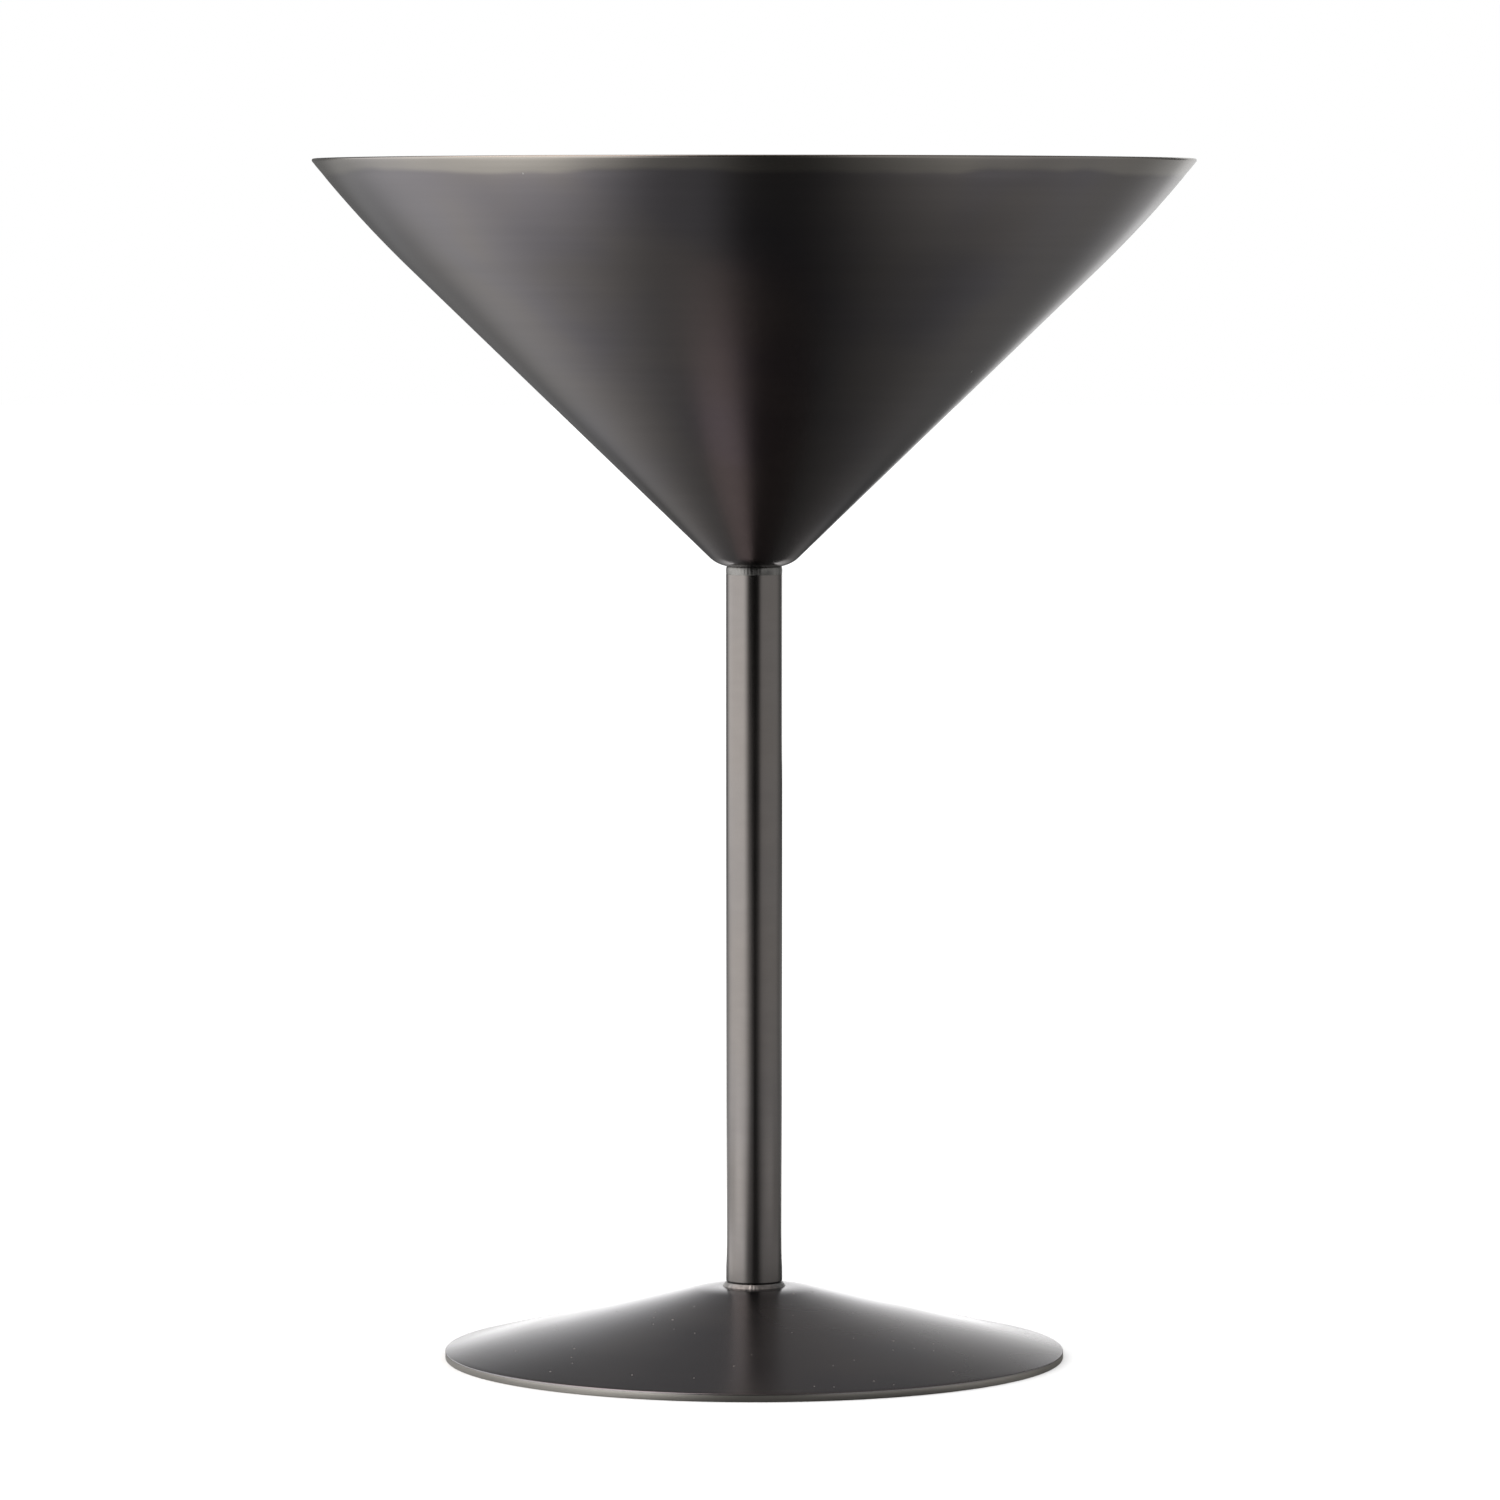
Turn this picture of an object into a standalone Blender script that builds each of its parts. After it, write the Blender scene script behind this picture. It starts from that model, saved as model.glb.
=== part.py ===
"""A stemmed cocktail glass in dark satin steel, in metres, +Z up.

A spun conical bowl is welded to a tube stem, which is welded to a spun conical foot.
The origin is on the table, under the stem's axis. Every piece is turned about Z.
Two spigots inside the tube's ends centre it on the bowl and on the foot.
"""

import math

import bmesh
import bpy

MM = 0.001

# Clearances. Welded and touching faces keep JOINT_GAP between their solids.
JOINT_GAP = 0.3 * MM

# Bowl
RIM_RADIUS = 62.5 * MM
BOWL_DEPTH = 57.7 * MM
BOWL_WALL = 0.8 * MM
LIP_ROUND = 0.25 * MM
CROWN_RADIUS = 158.0 * MM
CROWN_TURN = math.radians(7.4)
BOWL_CORNER = 4.7 * MM
SEAT_INSET = 0.9 * MM

# Stem
STEM_RADIUS = 4.0 * MM
STEM_LENGTH = 101.0 * MM
STEM_WALL = 0.8 * MM
TUBE_CHAMFER = 0.15 * MM

# Foot
FOOT_RADIUS = 44.1 * MM
FOOT_HEIGHT = 10.2 * MM
FOOT_SHEET = 1.2 * MM
EDGE_HEIGHT = 1.33 * MM
EDGE_ROUND = 0.35 * MM
BASE_ROUND = 0.15 * MM
REST_WIDTH = 1.8 * MM
CREST_MARGIN = 2.9 * MM
CREST_BLEND = 15.0 * MM

# Weld beads
BOWL_WELD_HEIGHT = 0.8 * MM
BOWL_WELD_BULGE = 0.15 * MM
FOOT_WELD_LEG = 0.65 * MM

# Spigots
SPIGOT_LENGTH = 9.0 * MM
SPIGOT_CHAMFER = 0.6 * MM
TENON_RADIUS = 1.7 * MM
RIVET_HEAD_RADIUS = 3.3 * MM
RIVET_HEAD_HEIGHT = 0.9 * MM

# Fineness of the turned faces
WIDE_SEGMENTS = 72
STEM_SEGMENTS = 36
CROWN_STEPS = 4
CORNER_STEPS = 4
LIP_STEPS = 2
BEAD_STEPS = 4

# Heights that follow from the sizes above
STEM_BOTTOM = FOOT_HEIGHT + JOINT_GAP
STEM_TOP = STEM_BOTTOM + STEM_LENGTH
BOWL_WELD_BOTTOM = STEM_TOP + JOINT_GAP
BOWL_BOTTOM = BOWL_WELD_BOTTOM + BOWL_WELD_HEIGHT + JOINT_GAP

# Radii that follow from the sizes above
STEM_BORE = STEM_RADIUS - STEM_WALL
SEAT_RADIUS = STEM_RADIUS - SEAT_INSET
SPIGOT_RADIUS = STEM_BORE - JOINT_GAP
FOOT_HOLE_RADIUS = TENON_RADIUS + JOINT_GAP
CREST_RADIUS = STEM_RADIUS + CREST_MARGIN


def clear_scene():
    for scene_object in list(bpy.data.objects):
        bpy.data.objects.remove(scene_object, do_unlink=True)


def coated_steel(name, colour, roughness):
    material = bpy.data.materials.new(name)
    material.use_nodes = True
    shader = material.node_tree.nodes["Principled BSDF"]
    shader.inputs["Base Color"].default_value = (*colour, 1.0)
    shader.inputs["Metallic"].default_value = 1.0
    shader.inputs["Roughness"].default_value = roughness
    return material


def arc(centre, radius, start, end, steps):
    """Points on an arc in the (radius, height) plane, both ends included."""
    points = []
    for step in range(steps + 1):
        angle = start + (end - start) * step / steps
        across = centre[0] + radius * math.cos(angle)
        up = centre[1] + radius * math.sin(angle)
        points.append((across, up))
    return points


def turned(name, outline, segments, material):
    """Spins a closed outline about Z. Points at radius 0 close the piece on its axis."""
    mesh = bpy.data.meshes.new(name)
    solid = bmesh.new()
    ring = [solid.verts.new((across, 0.0, up)) for across, up in outline]
    edges = []
    for index, vertex in enumerate(ring):
        following = ring[(index + 1) % len(ring)]
        on_axis = outline[index][0] == 0.0 and outline[(index + 1) % len(ring)][0] == 0.0
        if not on_axis:
            edges.append(solid.edges.new((vertex, following)))
    bmesh.ops.spin(
        solid,
        geom=ring + edges,
        cent=(0.0, 0.0, 0.0),
        axis=(0.0, 0.0, 1.0),
        angle=2.0 * math.pi,
        steps=segments,
        use_merge=True,
    )
    bmesh.ops.remove_doubles(solid, verts=solid.verts, dist=0.001 * MM)
    bmesh.ops.recalc_face_normals(solid, faces=solid.faces)
    solid.to_mesh(mesh)
    solid.free()
    mesh.shade_smooth()
    mesh.set_sharp_from_angle(angle=math.radians(30.0))
    mesh.materials.append(material)
    piece = bpy.data.objects.new(name, mesh)
    bpy.context.scene.collection.objects.link(piece)
    return piece


def crown_frame(lean):
    """The wall's lean at the lip, its outer end there, and the centre of the crown's arc.

    A lean is the wall's angle from upright. The lip is trimmed level, with rounded corners.
    """
    lip_lean = lean - CROWN_TURN
    lip_end = (
        RIM_RADIUS - LIP_ROUND + LIP_ROUND * math.cos(lip_lean),
        BOWL_DEPTH - LIP_ROUND - LIP_ROUND * math.sin(lip_lean),
    )
    centre = (
        lip_end[0] - CROWN_RADIUS * math.cos(lip_lean),
        lip_end[1] + CROWN_RADIUS * math.sin(lip_lean),
    )
    return lip_lean, lip_end, centre


def wall_miss(lean):
    """How far the straight wall passes from the corner's arc at this lean."""
    _, _, centre = crown_frame(lean)
    crown_end = (
        centre[0] + CROWN_RADIUS * math.cos(lean),
        centre[1] - CROWN_RADIUS * math.sin(lean),
    )
    corner_start = (
        SEAT_RADIUS + BOWL_CORNER * math.cos(lean),
        BOWL_CORNER - BOWL_CORNER * math.sin(lean),
    )
    run = crown_end[0] - corner_start[0]
    rise = crown_end[1] - corner_start[1]
    return run * math.cos(lean) - rise * math.sin(lean)


def wall_lean():
    """The lean at which the straight wall is tangent to the crown and to the corner."""
    low = math.radians(15.0)
    high = math.radians(80.0)
    for _ in range(60):
        middle = (low + high) / 2.0
        if wall_miss(middle) > 0.0:
            low = middle
        else:
            high = middle
    return (low + high) / 2.0


def inner_lip(lean):
    """The inner wall's lean where the lip's inner rounding starts, and that rounding's centre."""
    _, _, crown_centre = crown_frame(lean)
    reach = CROWN_RADIUS - BOWL_WALL + LIP_ROUND
    height = BOWL_DEPTH - LIP_ROUND
    inner_lean = math.asin((crown_centre[1] - height) / reach)
    return inner_lean, (crown_centre[0] + reach * math.cos(inner_lean), height)


def bowl_side(lean, top_lean, inset):
    """One face of the bowl's wall, from the lip down to the axis, moved in by inset."""
    _, _, crown_centre = crown_frame(lean)
    crown = arc(crown_centre, CROWN_RADIUS - inset, -top_lean, -lean, CROWN_STEPS)
    corner_centre = (SEAT_RADIUS, BOWL_CORNER)
    corner = arc(corner_centre, BOWL_CORNER - inset, -lean, -math.pi / 2.0, CORNER_STEPS)
    return crown + corner + [(0.0, inset)]


def bowl_lip(lean):
    """The level lip's two roundings, from the inner wall over the top to the outer wall."""
    lip_lean, _, _ = crown_frame(lean)
    inner_lean, inner_centre = inner_lip(lean)
    outer_centre = (RIM_RADIUS - LIP_ROUND, BOWL_DEPTH - LIP_ROUND)
    upright = math.pi / 2.0
    inner = arc(inner_centre, LIP_ROUND, math.pi - inner_lean, upright, LIP_STEPS)
    outer = arc(outer_centre, LIP_ROUND, upright, 0.0, LIP_STEPS)
    under = arc(outer_centre, LIP_ROUND, 0.0, -lip_lean, LIP_STEPS)
    return inner[1:] + outer + under[1:-1]


def make_bowl():
    """The spun bowl: a straight cone with a rounded bottom corner and a crowned top."""
    lean = wall_lean()
    outside = bowl_side(lean, lean - CROWN_TURN, 0.0)
    inside = bowl_side(lean, inner_lip(lean)[0], BOWL_WALL)
    outline = outside + inside[::-1] + bowl_lip(lean)
    raised = [(across, BOWL_BOTTOM + up) for across, up in outline]
    material = coated_steel("bowl_coated_steel", (0.075, 0.073, 0.074), 0.24)
    return turned("bowl", raised, WIDE_SEGMENTS, material)


def make_bowl_weld():
    """The butt weld between the tube's top and the bowl's seat, dressed almost flush."""
    bottom = BOWL_WELD_BOTTOM
    top = bottom + BOWL_WELD_HEIGHT
    waist = STEM_RADIUS - BOWL_WELD_BULGE
    outline = [(STEM_BORE, top), (STEM_BORE, bottom), (waist, bottom)]
    for step in range(1, BEAD_STEPS):
        share = step / BEAD_STEPS
        bulge = BOWL_WELD_BULGE * math.sin(math.pi * share)
        outline.append((waist + bulge, bottom + BOWL_WELD_HEIGHT * share))
    outline.append((waist, top))
    material = coated_steel("bowl_weld_metal", (0.11, 0.108, 0.105), 0.34)
    return turned("bowl_weld", outline, STEM_SEGMENTS, material)


def make_bowl_spigot():
    """A turned plug under the bowl's seat, which centres the top of the tube."""
    top = BOWL_BOTTOM - JOINT_GAP
    bottom = top - SPIGOT_LENGTH
    outline = [
        (0.0, top),
        (0.0, bottom),
        (SPIGOT_RADIUS - SPIGOT_CHAMFER, bottom),
        (SPIGOT_RADIUS, bottom + SPIGOT_CHAMFER),
        (SPIGOT_RADIUS, top),
    ]
    material = coated_steel("spigot_bare_steel", (0.42, 0.41, 0.40), 0.35)
    return turned("bowl_spigot", outline, STEM_SEGMENTS, material)


def make_stem_tube():
    """The plain drawn tube, with its outer ends broken by a small chamfer."""
    outline = [
        (STEM_BORE, STEM_TOP),
        (STEM_BORE, STEM_BOTTOM),
        (STEM_RADIUS - TUBE_CHAMFER, STEM_BOTTOM),
        (STEM_RADIUS, STEM_BOTTOM + TUBE_CHAMFER),
        (STEM_RADIUS, STEM_TOP - TUBE_CHAMFER),
        (STEM_RADIUS - TUBE_CHAMFER, STEM_TOP),
    ]
    material = coated_steel("stem_coated_steel", (0.10, 0.098, 0.096), 0.22)
    return turned("stem_tube", outline, STEM_SEGMENTS, material)


def make_foot_spigot():
    """A turned plug in the bottom of the tube. Its tenon is riveted through the foot."""
    top = STEM_BOTTOM + SPIGOT_LENGTH
    underside = FOOT_HEIGHT - FOOT_SHEET - JOINT_GAP
    head_bottom = underside - RIVET_HEAD_HEIGHT
    head_flat = RIVET_HEAD_RADIUS - RIVET_HEAD_HEIGHT
    head_centre = (head_flat, underside)
    quarter = math.pi / 2.0
    head = arc(head_centre, RIVET_HEAD_HEIGHT, -quarter, 0.0, BEAD_STEPS)
    outline = [(0.0, top), (0.0, head_bottom)]
    outline += head
    outline += [
        (TENON_RADIUS, underside),
        (TENON_RADIUS, STEM_BOTTOM),
        (SPIGOT_RADIUS, STEM_BOTTOM),
        (SPIGOT_RADIUS, top - SPIGOT_CHAMFER),
        (SPIGOT_RADIUS - SPIGOT_CHAMFER, top),
    ]
    material = coated_steel("rivet_bare_steel", (0.42, 0.41, 0.40), 0.35)
    return turned("foot_spigot", outline, STEM_SEGMENTS, material)


def make_foot_weld():
    """The fillet bead around the tube's bottom, laid on the foot's level land."""
    corner = (STEM_RADIUS + JOINT_GAP, FOOT_HEIGHT + JOINT_GAP)
    bead = arc(corner, FOOT_WELD_LEG, 0.0, math.pi / 2.0, BEAD_STEPS)
    material = coated_steel("foot_weld_metal", (0.16, 0.155, 0.15), 0.38)
    return turned("foot_weld", [corner] + bead, STEM_SEGMENTS, material)


def foot_slope():
    """The cone's angle from level: it runs from the crest to the edge's rounded corner."""
    run = FOOT_RADIUS - EDGE_ROUND - CREST_RADIUS
    drop = FOOT_HEIGHT - EDGE_HEIGHT + EDGE_ROUND
    return math.atan2(drop, run) - math.asin(EDGE_ROUND / math.hypot(run, drop))


def make_foot():
    """The spun foot: a level land under the stem, a shallow cone, and a flat-faced edge."""
    slope = foot_slope()
    upright = math.pi / 2.0
    crest_centre = (CREST_RADIUS - CREST_BLEND * math.tan(slope / 2.0), FOOT_HEIGHT - CREST_BLEND)
    top_crest = arc(crest_centre, CREST_BLEND, upright, upright - slope, CORNER_STEPS)
    under_crest = arc(
        crest_centre, CREST_BLEND - FOOT_SHEET, upright - slope, upright, CORNER_STEPS
    )
    edge_centre = (FOOT_RADIUS - EDGE_ROUND, EDGE_HEIGHT - EDGE_ROUND)
    edge = arc(edge_centre, EDGE_ROUND, upright - slope, 0.0, LIP_STEPS)
    base_centre = (FOOT_RADIUS - BASE_ROUND, BASE_ROUND)
    base = arc(base_centre, BASE_ROUND, 0.0, -upright, LIP_STEPS)
    rest_inner = FOOT_RADIUS - REST_WIDTH
    cone_over_rest = FOOT_HEIGHT - (rest_inner - CREST_RADIUS) * math.tan(slope)
    under_rest = cone_over_rest - FOOT_SHEET / math.cos(slope)
    lip_rise = under_rest / (1.0 - math.tan(slope))
    outline = [(FOOT_HOLE_RADIUS, FOOT_HEIGHT)]
    outline += top_crest + edge + base
    outline += [(rest_inner, 0.0), (rest_inner - lip_rise, lip_rise)]
    outline += under_crest
    outline.append((FOOT_HOLE_RADIUS, FOOT_HEIGHT - FOOT_SHEET))
    material = coated_steel("foot_coated_steel", (0.085, 0.084, 0.086), 0.24)
    return turned("foot", outline, WIDE_SEGMENTS, material)


def main():
    clear_scene()
    assembly = bpy.data.objects.new("cocktail_glass", None)
    bpy.context.scene.collection.objects.link(assembly)
    makers = (
        make_bowl,
        make_bowl_spigot,
        make_bowl_weld,
        make_stem_tube,
        make_foot_spigot,
        make_foot_weld,
        make_foot,
    )
    for make in makers:
        make().parent = assembly


main()
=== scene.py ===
# %% [markdown]
# # A martini glass in dark satin steel
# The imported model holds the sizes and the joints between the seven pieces. This script gives the
# glass its looks: finely turned surfaces, weld beads, a satin coating, and a plain pale studio.
# First the frame is loaded. Every place below is read from it, so no piece needs fitting.

import math

import bmesh
import bpy
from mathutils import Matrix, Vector


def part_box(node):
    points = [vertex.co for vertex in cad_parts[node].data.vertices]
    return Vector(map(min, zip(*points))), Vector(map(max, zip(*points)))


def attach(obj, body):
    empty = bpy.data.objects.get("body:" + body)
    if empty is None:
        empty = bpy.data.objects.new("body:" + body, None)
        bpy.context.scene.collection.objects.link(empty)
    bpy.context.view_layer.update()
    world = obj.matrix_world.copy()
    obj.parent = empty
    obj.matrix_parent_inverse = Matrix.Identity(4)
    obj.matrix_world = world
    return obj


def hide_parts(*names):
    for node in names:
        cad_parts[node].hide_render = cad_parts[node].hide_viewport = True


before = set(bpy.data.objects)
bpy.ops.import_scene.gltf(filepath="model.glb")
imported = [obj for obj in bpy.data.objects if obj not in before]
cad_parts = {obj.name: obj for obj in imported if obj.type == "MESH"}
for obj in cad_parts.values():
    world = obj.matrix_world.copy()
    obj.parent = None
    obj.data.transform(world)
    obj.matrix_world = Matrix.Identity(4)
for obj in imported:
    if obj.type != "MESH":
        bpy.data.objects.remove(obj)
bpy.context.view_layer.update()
bpy.context.scene.view_settings.view_transform = "Standard"
MM = 0.001

# %% [markdown]
# ## Sizes
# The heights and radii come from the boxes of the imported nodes, so they follow any change to the
# design. A box can't tell a wall's thickness or a rounding's radius. Those few are named beside
# the piece that needs them first, with the design's own values unless the text says otherwise.

# %% Heights and radii from the frame


def node_size(node):
    """The outer radius, bottom and top of a turned node."""
    low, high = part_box(node)
    return high[0], low[2], high[2]


rim_radius, bowl_bottom, bowl_top = node_size("bowl")
stem_radius, stem_bottom, _ = node_size("stem_tube")
foot_radius, _, foot_top = node_size("foot")
print("rim", round(2000 * rim_radius, 1), "mm, stem", round(2000 * stem_radius, 1), "mm")

# %% [markdown]
# ## Camera
# The glass is seen almost level, from just under the lip, so its inside stays hidden and the foot
# opens into a slim ellipse. A long lens from a metre away keeps the stem's sides parallel.

# %% Camera
CAMERA_DISTANCE = 1.108
CAMERA_HEIGHT = 0.1607
AIM_HEIGHT = 0.0868
SIDE_STEP = -0.0006
LENS = 187.5

camera_data = bpy.data.cameras.new("studio_camera")
camera_data.lens = LENS
camera_data.clip_end = 50.0
camera = bpy.data.objects.new("studio_camera", camera_data)
bpy.context.scene.collection.objects.link(camera)
camera.location = (SIDE_STEP, -CAMERA_DISTANCE, CAMERA_HEIGHT)
sight = Vector((SIDE_STEP, 0.0, AIM_HEIGHT)) - camera.location
camera.rotation_euler = sight.to_track_quat("-Z", "Y").to_euler()
bpy.context.scene.camera = camera
print("camera tilts down", round(math.degrees(math.atan2(-sight.z, sight.y)), 2), "degrees")

# %% [markdown]
# ## Small helpers for node trees
# Materials and Geometry Nodes are both trees of nodes. A few helpers keep the code that builds
# them short: one adds a node and fills its inputs, one does a step of arithmetic, one fades
# smoothly between two numbers, and one tells where a point lies on a turned piece.

# %% Helpers for node trees


def put(tree, kind, inputs=None, **settings):
    """Adds a node. An input is a number, a colour or another node's output."""
    node = tree.nodes.new(kind)
    for name, value in settings.items():
        setattr(node, name, value)
    for name, value in (inputs or {}).items():
        if isinstance(value, bpy.types.NodeSocket):
            tree.links.new(value, node.inputs[name])
        else:
            node.inputs[name].default_value = value
    return node


def calc(tree, operation, *values):
    """One Math node, and its result."""
    return put(tree, "ShaderNodeMath", dict(enumerate(values)), operation=operation).outputs[0]


def ease(tree, value, start, end, low=0.0, high=1.0):
    """Goes smoothly from low to high while value goes from start to end."""
    inputs = {"Value": value, "From Min": start, "From Max": end, "To Min": low, "To Max": high}
    node = put(tree, "ShaderNodeMapRange", inputs, interpolation_type="SMOOTHSTEP")
    return node.outputs["Result"]


def round_place(tree, spot):
    """A point's bearing round the Z axis, and its distance along a turned wall."""
    parts = put(tree, "ShaderNodeSeparateXYZ", {0: spot}).outputs
    flat = put(tree, "ShaderNodeVectorMath", {0: spot, 1: (1, 1, 0)}, operation="MULTIPLY")
    reach = put(tree, "ShaderNodeVectorMath", {0: flat.outputs[0]}, operation="LENGTH")
    along = calc(tree, "ADD", reach.outputs["Value"], parts["Z"])
    return calc(tree, "ARCTAN2", parts["Y"], parts["X"]), along


# %% [markdown]
# ## A lathe made of Geometry Nodes
# Bowl, tube, foot and welds are all turned about one axis. A Screw modifier could turn an outline,
# but a tree of our own can also carry what the spinner's roller and the welder's torch leave: the
# faint waves along a spun wall and the ripples round a bead. First the tree gets its inputs. The
# outline's points carry a number, free, which says how far a mark may move the surface there.

# %% The lathe's inputs
LATHE_INPUTS = (
    ("Outline", "Geometry"),
    ("Points", "Int"),
    ("Segments", "Int"),
    ("Wave Height", "Float"),
    ("Wave Length", "Float"),
    ("Ripple Height", "Float"),
    ("Ripples", "Int"),
    ("Seed", "Float"),
    ("Material", "Material"),
)

lathe = bpy.data.node_groups.new("lathe", "GeometryNodeTree")
lathe_sockets = {}
for name, kind in LATHE_INPUTS:
    socket_type = "NodeSocket" + kind
    socket = lathe.interface.new_socket(name=name, in_out="INPUT", socket_type=socket_type)
    lathe_sockets[name] = socket.identifier
lathe.interface.new_socket(name="Piece", in_out="OUTPUT", socket_type="NodeSocketGeometry")
given = lathe.nodes.new("NodeGroupInput").outputs
print("the lathe takes", len(lathe_sockets), "inputs")

# %% [markdown]
# ### Rings
# A grid has one row for each outline point and one column for each step round the axis. A
# corner's index tells both: its row picks the outline point, and its column the turn. The first
# and last columns land in one place, and so does a whole row on the axis. Merging by distance
# joins them, which closes the seam and the poles.

# %% Bend a grid into rings
MERGE_DISTANCE = 0.002 * MM


def at_row(tree, outline, value, row, **settings):
    """What a value is at the outline point of this row."""
    inputs = {"Geometry": outline, "Value": value, "Index": row}
    return put(tree, "GeometryNodeSampleIndex", inputs, **settings).outputs[0]


def bend_rings(tree, outline, points, segments):
    """The outline turned round the axis and merged, with free stored on its corners."""
    columns = calc(tree, "ADD", segments, 1.0)
    grid = {"Vertices X": points, "Vertices Y": columns}
    grid = put(tree, "GeometryNodeMeshGrid", grid).outputs["Mesh"]
    index = put(tree, "GeometryNodeInputIndex").outputs[0]
    row = calc(tree, "FLOOR", calc(tree, "DIVIDE", calc(tree, "ADD", index, 0.5), columns))
    column = calc(tree, "SUBTRACT", index, calc(tree, "MULTIPLY", row, columns))
    angle = calc(tree, "MULTIPLY", calc(tree, "DIVIDE", column, segments), -math.tau)

    place = put(tree, "GeometryNodeInputPosition").outputs[0]
    point = at_row(tree, outline, place, row, data_type="FLOAT_VECTOR")
    point = put(tree, "ShaderNodeSeparateXYZ", {0: point}).outputs
    free = put(tree, "GeometryNodeInputNamedAttribute", {"Name": "free"}).outputs[0]
    free = at_row(tree, outline, free, row)
    across = calc(tree, "MULTIPLY", point["X"], calc(tree, "COSINE", angle))
    deep = calc(tree, "MULTIPLY", point["X"], calc(tree, "SINE", angle))
    ring = put(tree, "ShaderNodeCombineXYZ", {0: across, 1: deep, 2: point["Z"]}).outputs[0]
    turned = put(tree, "GeometryNodeSetPosition", {"Geometry": grid, "Position": ring})
    kept = {"Geometry": turned.outputs[0], "Name": "free", "Value": free}
    kept = put(
        tree, "GeometryNodeStoreNamedAttribute", kept, domain="POINT", data_type="FLOAT"
    )
    whole = {0: kept.outputs[0], "Distance": MERGE_DISTANCE}
    return put(tree, "GeometryNodeMergeByDistance", whole).outputs[0]


# %% [markdown]
# ### Waves and ripples
# The roller leaves long, faint waves along a wall, so they are noise on the distance along it. The
# torch leaves puddles round a bead, so they are a sine on the bearing, and slow noise drifts its
# phase so that no two puddles are alike. Both move the surface along its normal.

# %% Waves and ripples
RIPPLE_DRIFT = 9.0


def seeded_noise(tree, where, seed, scale, detail):
    """Noise whose fourth dimension is the seed, so that each piece gets its own."""
    inputs = {"Vector": where, "W": seed, "Scale": scale, "Detail": detail}
    return put(tree, "ShaderNodeTexNoise", inputs, noise_dimensions="4D").outputs[0]


def mark_lift(tree, given):
    """How far the waves and ripples lift each corner."""
    place = put(tree, "GeometryNodeInputPosition").outputs[0]
    bearing, along = round_place(tree, place)
    along = calc(tree, "DIVIDE", along, given["Wave Length"])
    level = {0: calc(tree, "COSINE", bearing), 1: calc(tree, "SINE", bearing)}
    circling = put(tree, "ShaderNodeCombineXYZ", {**level, 2: along}).outputs[0]
    wave = seeded_noise(tree, circling, given["Seed"], 1.0, 1.0)
    wave = calc(tree, "MULTIPLY", calc(tree, "SUBTRACT", wave, 0.5), given["Wave Height"])

    around = put(tree, "ShaderNodeCombineXYZ", level).outputs[0]
    drift = seeded_noise(tree, around, given["Seed"], 3.0, 0.0)
    phase = calc(tree, "MULTIPLY", bearing, calc(tree, "MULTIPLY", given["Ripples"], 0.5))
    phase = calc(tree, "ADD", phase, calc(tree, "MULTIPLY", drift, RIPPLE_DRIFT))
    ripple = calc(tree, "ABSOLUTE", calc(tree, "SINE", phase))
    ripple = calc(tree, "MULTIPLY", calc(tree, "SUBTRACT", ripple, 1.0), given["Ripple Height"])
    free = put(tree, "GeometryNodeInputNamedAttribute", {"Name": "free"}).outputs[0]
    return calc(tree, "MULTIPLY", calc(tree, "ADD", wave, ripple), free)


# %% Put the lathe together
rings = bend_rings(lathe, given["Outline"], given["Points"], given["Segments"])
normal = put(lathe, "GeometryNodeInputNormal").outputs[0]
lift = {0: normal, "Scale": mark_lift(lathe, given)}
lift = put(lathe, "ShaderNodeVectorMath", lift, operation="SCALE").outputs[0]
marked = put(lathe, "GeometryNodeSetPosition", {"Geometry": rings, "Offset": lift})
real = put(lathe, "GeometryNodeRealizeInstances", {0: marked.outputs[0]})
turned = {0: real.outputs[0], "Material": given["Material"]}
turned = put(lathe, "GeometryNodeSetMaterial", turned)
put(lathe, "NodeGroupOutput", {"Piece": turned.outputs[0]})
print("the lathe has", len(lathe.nodes), "nodes")

# %% [markdown]
# ## Outlines
# An outline is a closed line of (radius, height, free) points. Arcs are worked out from their
# radius, and straight runs are cut into short steps so that the waves have something to bend.

# %% Outline helpers


def arc(centre, radius, start, end, steps, free=0.0):
    """Outline points on an arc, both ends included. Angles are in radians."""
    points = []
    for step in range(steps + 1):
        angle = start + (end - start) * step / steps
        across = centre[0] + radius * math.cos(angle)
        up = centre[1] + radius * math.sin(angle)
        points.append((across, up, free))
    return points


def run(start, end, spacing, free=0.0):
    """Points strictly between two outline points, about one spacing apart."""
    steps = max(1, round(math.dist(start[:2], end[:2]) / spacing))
    points = []
    for step in range(1, steps):
        share = step / steps
        across = start[0] + (end[0] - start[0]) * share
        up = start[1] + (end[1] - start[1]) * share
        points.append((across, up, free))
    return points


def outline_path(outline):
    """The outline anticlockwise, so that faces look outwards, and open only along the axis."""
    twice_area = 0.0
    for here, there in zip(outline, outline[1:] + outline[:1]):
        twice_area += here[0] * there[1] - there[0] * here[1]
    if twice_area < 0.0:
        outline = outline[::-1]
    poles = [step for step, point in enumerate(outline) if point[0] == 0.0]
    if not poles:
        return outline + outline[:1]
    low_pole = min(poles, key=lambda step: outline[step][1])
    return outline[low_pole:] + outline[:low_pole]


# %% [markdown]
# ## From outline to finished piece
# The outline starts as a mesh of loose points, and the lathe turns it as a modifier. After it has
# run, its result replaces the outline's mesh and the modifier goes, which leaves a plain closed
# mesh. A signed volume above zero shows that its faces look outwards.

# %% Turn a piece
SHARP_ANGLE = math.radians(34.0)
PLAIN_MARKS = {
    "Wave Height": 0.0,
    "Wave Length": 10.0 * MM,
    "Ripple Height": 0.0,
    "Ripples": 0,
    "Seed": 0.0,
}


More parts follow.
